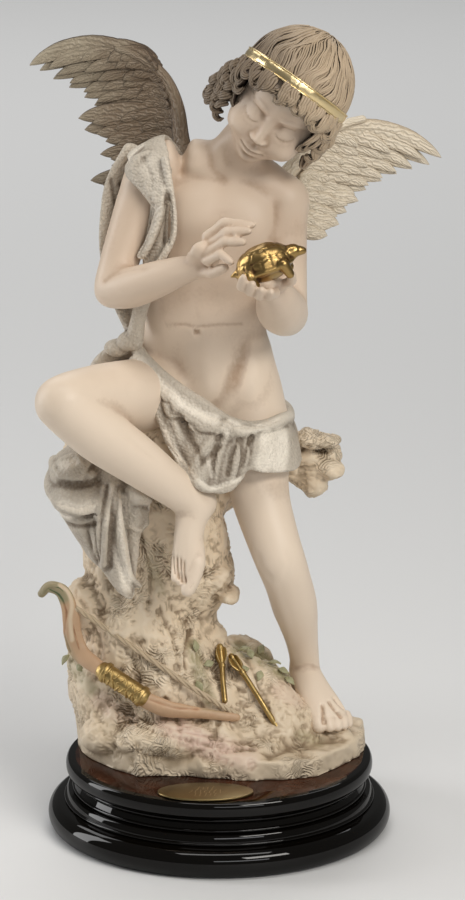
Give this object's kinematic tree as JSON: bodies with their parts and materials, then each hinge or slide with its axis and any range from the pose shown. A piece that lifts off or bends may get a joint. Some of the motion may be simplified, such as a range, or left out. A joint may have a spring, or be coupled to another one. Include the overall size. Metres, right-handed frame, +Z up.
{
  "type": "winged boy figurine",
  "caption": "Cast resin winged boy seated on a rock, holding a small gilded tortoise, bow and arrows below, on a round turned plinth with an oval brass plaque",
  "frame": {"origin": "the middle of the plinth's underside, on the surface it stands on", "axes": "+Z up, -Y towards the viewer, +X to the viewer's right"},
  "size_m": [0.2119, 0.1794, 0.4228],
  "materials": {
    "cast_resin": "satin cream with brown antique wash, cloth grey, hair brown, fillet and tortoise gilded",
    "black_lacquered_wood": "black gloss lacquer with a brown burl field on top",
    "brass_plate": "polished"
  },
  "bodies": {
    "root": {"cupid_on_rock": "cast_resin", "plinth": "black_lacquered_wood", "plaque": "brass_plate"}
  },
  "joints": []
}
